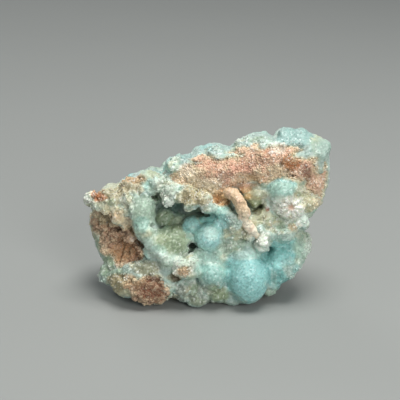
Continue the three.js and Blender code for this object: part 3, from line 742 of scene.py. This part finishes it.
def linear(shade):
    values = np.array(shades[shade]) / 255
    return np.where(values <= 0.04045, values / 12.92, ((values + 0.055) / 1.055) ** 2.4)


def washed(colour, shade, weight):
    return colour + (linear(shade) - colour) * np.clip(weight, 0, 1)[:, None]


def stained(colour, table, fray, salt):
    zoneShares = shares([row[1:5] for row in table], fray, salt)
    for row, share in zip(table, zoneShares):
        colour = washed(colour, row[0], row[5] * share)
    return colour


def bodyColours():
    spots = bodySpots
    drift = roughNoise(spots, 6.0, 61)
    crust = np.repeat(linear("mist")[None], len(spots), 0)
    crust = washed(crust, "sage", 0.8 * ramp(drift, 0.0, 0.5))
    crust = washed(crust, "straw", 0.5 * ramp(drift, 0.5, 1.1))
    crust = washed(crust, "aqua", 0.8 * ramp(-drift, 0.0, 0.8))
    behind = ramp(spots[:, 1], 2, 7)
    crust = washed(crust, "khaki", 0.5 * behind * ramp(roughNoise(spots, 8.0, 66), 0.2, 0.9))
    crust = washed(crust, "pale", 0.5 * behind * ramp(roughNoise(spots, 5.0, 68), 0.2, 0.8))
    crust = stained(crust, tints, 0.35, 71)
    warped = spots + 0.9 * np.stack([softNoise(spots, 1.6, salt) for salt in (76, 77, 78)], 1)
    near, _, own = cellNoise(warped, 2.3, 75)  # in the coarse druse each knob has its own shade
    knobShades = ("white", 0.0, 0.22), ("straw", 0.22, 0.42), ("pale", 0.42, 0.62), ("moss", 0.62, 0.8)
    for shade, start, end in knobShades:
        chosen = (own >= start) & (own < end)
        crust = washed(crust, shade, 0.55 * coarseShare * chosen * ramp(near, 0.75, 0.35))
    # painted highlight: whiter on the tops, broken up by noise; painted shade: olive in the creases
    broken = ramp(softNoise(spots, 1.6, 65), -0.6, 0.6)
    crust = washed(crust, "white", 0.45 * ramp(hollow, 0.08, 0.35) * broken)
    crust = washed(crust, "olive", 0.35 * ramp(-hollow, 0.08, 0.4))
    inside, far, rays = starShape(spots)
    crust = washed(crust, "white", 0.9 * inside)
    crust = washed(crust, "straw", 0.6 * inside * ramp(-rays, 0.2, 0.9))
    rock = np.repeat(linear("pink")[None], len(spots), 0)
    stain = roughNoise(spots, 3.6, 91) + 0.5 * softNoise(spots, 0.9, 94)
    rock = washed(rock, "cream", 0.65 * ramp(stain, 0.1, 0.8))
    rock = washed(rock, "brown", 0.6 * ramp(-stain, 0.2, 0.9))
    mottled = softNoise(spots, 1.3, 97)
    rock = washed(rock, "cream", 0.45 * ramp(mottled, 0.15, 0.65))
    rock = washed(rock, "rose", 0.4 * ramp(-mottled, 0.15, 0.65))
    rock = stained(rock, rockTints, 0.5, 81)
    # painted shade: umber in the creases, more where the rock is rugged; painted highlight: cream on the tops
    rock = washed(rock, "umber", (0.25 + 0.35 * ruggedShare) * ramp(-hollow, 0.08, 0.45))
    rock = washed(rock, "cream", 0.35 * ramp(hollow, 0.06, 0.3))
    mix = rockShare[:, None]
    colour = crust * (1 - mix) + rock * mix
    colour = washed(colour, "cream", 0.7 * edgeShare * ramp(roughNoise(spots, 1.8, 95), -0.9, 0.4))
    colour = stained(colour, stainsAndPaintedLight, 0.4, 87)
    colour = washed(colour, "brown", 0.8 * inside * ramp(far, 1.4, 0.4))
    paintedDeepShade = ramp(light, 0.34, 0.0)  # painted shade: darker in the deep places that little open sky reaches
    # painted shade in the gaps between the growths, as well as in the deep places
    return washed(colour, "paintedShade", np.maximum(0.3 * paintedDeepShade, 0.7 * gapShare))


bodyTint = bodyColours()
print("colours mixed")

# finishes


def nodeMaker(material):
    tree = material.node_tree

    def make(kind, links=(), **values):
        node = tree.nodes.new("ShaderNode" + kind)
        for name, value in values.items():
            if hasattr(node, name):
                setattr(node, name, value)
            else:
                node.inputs[name.replace("_", " ")].default_value = value
        for target, source in links:
            tree.links.new(source, node.inputs[target])
        return node

    return make


glass = {"tint": (0.8, 1.0, 0.9), "depth": 1.1, "bending": 1.6}  # light in the crystals, depth in mm


def mineralFinish(look):
    material = bpy.data.materials.new(look["name"])
    material.use_nodes = True
    material.node_tree.nodes.clear()
    make = nodeMaker(material)
    place = make("TexCoord").outputs["Object"]
    tint = make("Attribute", attribute_name="tint").outputs["Color"]
    coarse = make("Attribute", attribute_name="coarse").outputs["Fac"]
    grain = make("TexVoronoi", [("Vector", place)], Scale=1 / (look["grain"] * mm), Randomness=1.0)
    cloud = make("TexNoise", [("Vector", place)], Scale=1 / (look["cloud"] * mm), Detail=4.0, Roughness=0.65)
    split = make("SeparateColor", [("Color", grain.outputs["Color"])])
    # lighter and darker grains
    both = make("Math", [(0, split.outputs["Red"]), (1, cloud.outputs["Fac"])], operation="ADD")
    low, high = 1 - look["contrast"], 1 + look["contrast"]
    lift = make("MapRange", [("Value", both.outputs[0])], From_Min=0.3, From_Max=1.7, To_Min=low, To_Max=high)
    shade = make("VectorMath", [(0, tint), ("Scale", lift.outputs["Result"])], operation="SCALE")
    # bright grains: partly clear white grains, partly painted glints
    low, high = look["brightStrength"]
    strength = make("MapRange", [("Value", coarse)], To_Min=low, To_Max=high)
    links = [("Value", split.outputs["Blue"]), ("To Max", strength.outputs[0])]
    bright = make("MapRange", links, From_Min=1 - look["brightShare"])
    pale = make("Mix", [("Factor", bright.outputs["Result"]), (6, shade.outputs[0])], data_type="RGBA")
    pale.inputs[7].default_value = (*look["brightColour"], 1)
    # each grain is a facet of its own
    turned = make("VectorMath", [(0, grain.outputs["Color"])], operation="SUBTRACT")
    turned.inputs[1].default_value = (0.5, 0.5, 0.5)
    low, high = look["facets"]
    steep = make("MapRange", [("Value", coarse)], To_Min=low, To_Max=high)
    tilt = make("VectorMath", [(0, turned.outputs[0]), ("Scale", steep.outputs[0])], operation="SCALE")
    surface = make("NewGeometry").outputs["Normal"]
    leaning = make("VectorMath", [(0, surface), (1, tilt.outputs[0])], operation="ADD")
    facet = make("VectorMath", [(0, leaning.outputs[0])], operation="NORMALIZE")
    gloss = look["gloss"]
    rough = make("MapRange", [("Value", split.outputs["Green"])], To_Min=gloss, To_Max=min(1, gloss + 0.45))
    shader = make(
        "BsdfPrincipled",
        [("Base Color", pale.outputs[2]), ("Roughness", rough.outputs[0]), ("Normal", facet.outputs[0])],
        Subsurface_Weight=look["glow"],
        Subsurface_Radius=glass["tint"],
        Subsurface_Scale=glass["depth"] * mm,
        IOR=glass["bending"],
    )
    make("OutputMaterial", [("Surface", shader.outputs["BSDF"])])
    return material


looks = {
    "crust": {
        "name": "paleBlueHemimorphite",
        "grain": 0.42,  # mm
        "cloud": 1.6,
        "contrast": 0.2,
        "brightShare": 0.14,
        "brightStrength": (0.25, 0.6),  # smooth and coarse
        "brightColour": (0.86, 0.93, 0.88),
        "facets": (0.42, 0.62),  # how much the grains lean, smooth and coarse
        "gloss": 0.2,
        "glow": 0.55,
    },
    "rock": {
        "name": "ironStainedRock",
        "grain": 0.4,
        "cloud": 1.2,
        "contrast": 0.2,
        "brightShare": 0.14,
        "brightStrength": (0.5, 0.5),
        "brightColour": (0.85, 0.76, 0.64),
        "facets": (0.5, 0.5),
        "gloss": 0.4,
        "glow": 0.0,
    },
}
looks["rod"] = {
    **looks["rock"],
    "name": "tanStalactiteStone",
    "grain": 0.36,
    "contrast": 0.22,
    "brightShare": 0.12,
    "brightColour": (0.86, 0.8, 0.68),
    "facets": (0.6, 0.6),
    "gloss": 0.45,
}
looks["blades"] = {
    "name": "clearHemimorphiteBlades",
    "grain": 1.1,
    "cloud": 2.0,
    "contrast": 0.12,
    "brightShare": 0.05,
    "brightStrength": (0.4, 0.4),
    "brightColour": (0.9, 0.94, 0.9),
    "facets": (0.1, 0.1),
    "gloss": 0.12,
    "glow": 0.15,
}
looks["vug"] = {**looks["crust"], "name": "vugHemimorphite"}
looks["sugar"] = {**looks["blades"], "name": "sugaryQuartzGrains", "gloss": 0.25, "glow": 0.0}
finishes = {key: mineralFinish(look) for key, look in looks.items()}


def floorFinish():
    material = bpy.data.materials.new("paleGreyCard")
    material.use_nodes = True
    make = nodeMaker(material)
    shader = material.node_tree.nodes["Principled BSDF"]
    place = make("TexCoord").outputs["Object"]
    cloud = make("TexNoise", [("Vector", place)], Scale=14.0, Detail=3.0)
    fleck = make("MapRange", [("Value", cloud.outputs["Fac"])], To_Min=0.985, To_Max=1.015)
    base = make("RGB")
    base.outputs[0].default_value = (*studio["floorGrey"], 1)
    # painted shade: the floor grows darker towards the back
    depth = make("SeparateXYZ", [("Vector", place)]).outputs["Y"]
    near, far, nearest, farthest = studio["floorPaintedFalloff"]
    fade = make("MapRange", [("Value", depth)], From_Min=near, From_Max=far, To_Min=nearest, To_Max=farthest)
    faded = make("Math", [(0, fleck.outputs[0]), (1, fade.outputs[0])], operation="MULTIPLY")
    shade = make("VectorMath", [(0, base.outputs[0]), ("Scale", faded.outputs[0])], operation="SCALE")
    material.node_tree.links.new(shade.outputs[0], shader.inputs["Base Color"])
    shader.inputs["Roughness"].default_value = 0.85
    shader.inputs["Specular IOR Level"].default_value = 0.2
    return material


def makeFloor():
    half = studio["floorSize"] / 2 / mm
    spots = np.array([(-half, -half, 0), (half, -half, 0), (half, half, 0), (-half, half, 0)])
    floor = bpy.data.objects.new("floor", meshFrom("floor", spots, np.array([[0, 1, 2, 3]])))
    floor.data.materials.append(floorFinish())
    scene.collection.objects.link(floor)


makeFloor()


def makePiece(name, spots, tris, tint, finish, slot, node=None, coarse=1.0):
    spots = spots.copy()
    spots[:, 2] = np.maximum(spots[:, 2], 0.02)  # mm, just clear of the floor
    mesh = meshFrom(name, spots, tris)
    colour = mesh.color_attributes.new("tint", "FLOAT_COLOR", "POINT")
    colour.data.foreach_set("color", np.concatenate([tint, np.ones((len(tint), 1))], 1).ravel())
    coarseness = mesh.attributes.new("coarse", "FLOAT", "POINT")
    coarseness.data.foreach_set("value", np.full(len(tint), coarse))
    mesh.materials.append(finishes[finish])
    piece = bpy.data.objects.new(name, mesh)
    scene.collection.objects.link(piece)
    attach(piece, "root")
    if node:
        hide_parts(node)
    print(name + ":", len(tris), "triangles")


# the crust and the rock: each lies a little deeper where the other one shows


def makeCrust():
    cover = np.clip(rockShare + vugShare, 0, 1)
    spots = dressed - deepNormals * (growth["sunk"] * cover)[:, None]
    slot, node = "hemimorphite", "hemimorphite_crust"
    makePiece("hemimorphiteCrust", spots, bodyTris, bodyTint, "crust", slot, node, coarseShare)


def makeRock():
    cover = np.clip(1 - rockShare, 0, 1)
    spots = dressed - deepNormals * (growth["sunk"] * cover)[:, None]
    makePiece("hostRock", spots, bodyTris, bodyTint, "rock", "matrix_rock", "matrix")


lining = {"sunk": 0.5, "thick": 0.9, "least": 0.04}  # mm, mm, and the share from which a spot is lining


def makeVugLining():
    reach = smoothed(vugShare, bodyTris, 3).ravel()
    chosen = (reach[bodyTris] > lining["least"]).all(1)
    spots, index = np.unique(bodyTris[chosen], return_inverse=True)
    tris = index.reshape(-1, 3)
    outer = dressed[spots]
    cover = 1 - ramp(vugShare[spots], 0.1, 0.6)
    outer = outer - deepNormals[spots] * (lining["sunk"] * cover)[:, None]
    inner = outer - deepNormals[spots] * lining["thick"]
    sides = np.concatenate([tris[:, [0, 1]], tris[:, [1, 2]], tris[:, [2, 0]]])
    key = sides[:, 0] * len(spots) + sides[:, 1]
    back = sides[:, 1] * len(spots) + sides[:, 0]
    rim = sides[~np.isin(key, back)]
    count = len(spots)
    wall = np.concatenate([
        np.stack([rim[:, 1], rim[:, 0], rim[:, 0] + count], 1),
        np.stack([rim[:, 1], rim[:, 0] + count, rim[:, 1] + count], 1),
    ])
    allTris = np.concatenate([tris, tris[:, ::-1] + count, wall])
    tint = np.concatenate([bodyTint[spots]] * 2)
    coarse = np.concatenate([coarseShare[spots]] * 2)
    both = np.concatenate([outer, inner])
    makePiece("vugDruse", both, allTris, tint, "vug", "vug_hemimorphite", "vug_lining", coarse)


makeCrust()
makeRock()
makeVugLining()

# the stalactite

stalactite = {
    # each length from its top down: x, y, z and radius, mm
    "upper": [
        (5.0, -9.6, 29.5, 1.3), (6.3, -11.2, 29.7, 1.4), (7.6, -12.0, 28.3, 1.4), (8.3, -12.3, 26.7, 1.4),
        (9.0, -12.2, 25.3, 1.5),
    ],
    "lower": [
        (8.4, -11.6, 23.9, 1.15), (9.5, -12.0, 22.4, 1.2), (10.8, -12.0, 20.8, 1.2), (12.1, -11.4, 19.3, 1.0),
    ],
    "voxel": 0.2,
    "balls": 34,  # that are fused into each length
    "plump": (0.88, 1.04),  # how much of that radius a ball has
    "wobble": 0.1,  # mm
    "knobs": (1.3, 0.22),  # size and height, mm
    "grains": (0.5, 0.16),
}


def alongPath(knots, count):
    spots = np.array(knots)
    at = np.linspace(0, len(spots) - 1, count)
    low = np.minimum(at.astype(int), len(spots) - 2)
    t = (at - low)[:, None]
    ends = np.vstack([2 * spots[0] - spots[1], spots, 2 * spots[-1] - spots[-2]])
    p0, p1, p2, p3 = (ends[low + i] for i in range(4))
    squared = (2 * p0 - 5 * p1 + 4 * p2 - p3) * t**2
    cubed = (3 * p1 - p0 - 3 * p2 + p3) * t**3
    return 0.5 * (2 * p1 + (p2 - p0) * t + squared + cubed)


def makeStalactite():
    ball, ballTris = ballArrays()
    parts = []
    for length in ("upper", "lower"):
        for x, y, z, radius in alongPath(stalactite[length], stalactite["balls"]):
            wobble = chance.normal(0, stalactite["wobble"], 3)
            plump = chance.uniform(*stalactite["plump"])
            parts.append((ball * radius * plump + (x, y, z) + wobble, ballTris))
    spots, tris = remeshed(*joined(parts), stalactite["voxel"])
    spots, tris = largestIsland(spots, tris)
    spots = smoothed(spots, tris, 5)
    normals = normalsOf(spots, tris)
    size, high = stalactite["knobs"]
    grainSize, grainHigh = stalactite["grains"]
    near, _, own = cellNoise(spots, grainSize, 51)
    bumps = high * (domes(spots, size, 52) - 0.4) + grainHigh * (own - 0.5 + 0.8 * (0.5 - near))
    spots = spots + normals * bumps[:, None]
    tint = np.repeat(linear("cream")[None], len(spots), 0)
    tint = washed(tint, "snow", 0.25 + 0.2 * ramp(spots[:, 2], 25, 21))
    tint = washed(tint, "tan", 0.7 * ramp(spots[:, 2], 23, 28))
    tint = washed(tint, "pink", 0.5 * ramp(roughNoise(spots, 1.4, 53), 0.0, 0.8))
    # painted shade: browner in the low places between the knobs
    tint = washed(tint, "brown", 0.3 * ramp(-bumps, 0.02, 0.18))
    makePiece("tanStalactite", spots, tris, tint, "rod", "stalactite_rock", "stalactite")


makeStalactite()

# blades of hemimorphite and grains of quartz, each set of them one joined mesh

blades = {
    "count": 1500,
    "long": (0.4, 0.9),  # mm
    "coarseGain": 0.35,  # how much longer they are in the coarse druse
    "wide": (0.35, 0.7),  # share of the length
    "thick": (0.18, 0.45),
    "lean": 1.3,
    "sunk": 0.12,  # mm
    "uneven": 0.08,
}

sugar = {
    "count": 9000,
    "size": (0.2, 0.5),  # mm
    "lean": 2.0,
    "uneven": 0.14,
    "bright": 0.08,  # share of the grains that are whitened: partly white grains, partly painted glints
}

seating = {"lowest": 0.8, "darkest": 0.12}  # mm above the ground, and share of open sky


def bladeShape():
    base = [(-1, -1, -0.35), (1, -1, -0.35), (1, 1, -0.35), (-1, 1, -0.35)]
    shoulder = [(-1, -1, 0.62), (1, -1, 0.62), (1, 1, 0.62), (-1, 1, 0.62)]
    ridge = [(-0.55, 0, 1), (0.55, 0, 1)]
    tris = [(0, 2, 1), (0, 3, 2)]
    for i in range(4):
        j = (i + 1) % 4
        tris += [(i, j, j + 4), (i, j + 4, i + 4)]
    tris += [(4, 5, 9), (4, 9, 8), (6, 7, 8), (6, 8, 9), (5, 6, 9), (7, 4, 8)]
    return np.array(base + shoulder + ridge, float), np.array(tris)


def grainShape():
    corners = np.array(list(itertools.product((-1, 1), repeat=3)), float) * 0.5
    tris = [(0, 1, 3), (0, 3, 2), (4, 6, 7), (4, 7, 5), (0, 4, 5), (0, 5, 1)]
    tris += [(2, 3, 7), (2, 7, 6), (0, 2, 6), (0, 6, 4), (1, 5, 7), (1, 7, 3)]
    return corners, np.array(tris)


def seats(weight, count):  # places on the dressed surface, more of them where the weight is high
    a, b, c = (dressed[bodyTris[:, i]] for i in range(3))
    across = np.cross(b - a, c - a)
    share = np.linalg.norm(across, axis=1) * weight[bodyTris].mean(1)
    share *= (a[:, 2] > seating["lowest"]) & (light[bodyTris[:, 0]] > seating["darkest"])
    face = chance.choice(len(bodyTris), count, p=share / share.sum())
    u, v = chance.random(count), chance.random(count)
    turned = u + v > 1
    u[turned], v[turned] = 1 - u[turned], 1 - v[turned]
    place = a[face] + (b - a)[face] * u[:, None] + (c - a)[face] * v[:, None]
    return place, bodyTris[face, 0]


def turnedTo(ways, lean):
    count = len(ways)
    up = unit(ways + lean * chance.normal(size=(count, 3)) * 0.6)
    side = unit(np.cross(up, chance.normal(size=(count, 3))))
    return np.stack([side, np.cross(up, side), up], 2)


def grow(shape, tris, place, turn, size, uneven):
    count, corners = len(place), len(shape)
    local = shape[None] * size[:, None, :]
    local = local * (1 + uneven * chance.normal(size=(count, corners, 1)))
    spots = np.einsum("nij,nkj->nki", turn, local) + place[:, None]
    faces = tris[None] + (np.arange(count) * corners)[:, None, None]
    return spots.reshape(-1, 3), faces.reshape(-1, 3)


def makeBlades():
    weight = (1 - rockShare) * (0.12 + coarseShare + 0.3 * ramp(window, 0.02, 0.2)) * (1 - smoothShare)
    weight *= ramp(height, -0.3, 0.4)
    place, at = seats(weight, blades["count"])
    count = len(place)
    long = chance.uniform(*blades["long"], count) * (1 + blades["coarseGain"] * coarseShare[at])
    wide = chance.uniform(*blades["wide"], count) * long * 0.5
    thick = chance.uniform(*blades["thick"], count) * long * 0.5
    shape, tris = bladeShape()
    turn = turnedTo(unit(bodyNormals[at] + deepNormals[at]), blades["lean"])
    place = place - deepNormals[at] * blades["sunk"]
    size = np.stack([wide, thick, long * 0.45], 1)
    spots, faces = grow(shape, tris, place, turn, size, blades["uneven"])
    tint = washed(bodyTint[at], "white", 0.4 * chance.random(count) ** 1.5)
    tint = np.clip(tint * chance.uniform(0.9, 1.08, (count, 1)), 0, 1)
    makePiece("hemimorphiteBlades", spots, faces, np.repeat(tint, len(shape), 0), "blades", "hemimorphite")


def makeSugar():
    weight = rockShare * (0.5 + 0.5 * ramp(height, -0.4, 0.4))
    place, at = seats(weight, sugar["count"])
    count = len(place)
    size = chance.uniform(*sugar["size"], count)[:, None] * chance.uniform(0.6, 1.2, (count, 3))
    shape, tris = grainShape()
    turn = turnedTo(bodyNormals[at], sugar["lean"])
    spots, faces = grow(shape, tris, place, turn, size, sugar["uneven"])
    tint = washed(bodyTint[at], "cream", 0.45 * chance.random(count) ** 1.8)
    # the whitened grains are partly white grains, partly painted glints
    bright = chance.random(count) > 1 - sugar["bright"]
    tint = washed(tint, "snow", 0.45 * bright * (1 - 0.8 * ruggedShare[at]))
    tint = np.clip(tint * chance.uniform(0.86, 1.12, (count, 1)), 0, 1)
    makePiece("quartzSugar", spots, faces, np.repeat(tint, len(shape), 0), "sugar", "matrix_rock")


makeBlades()
makeSugar()
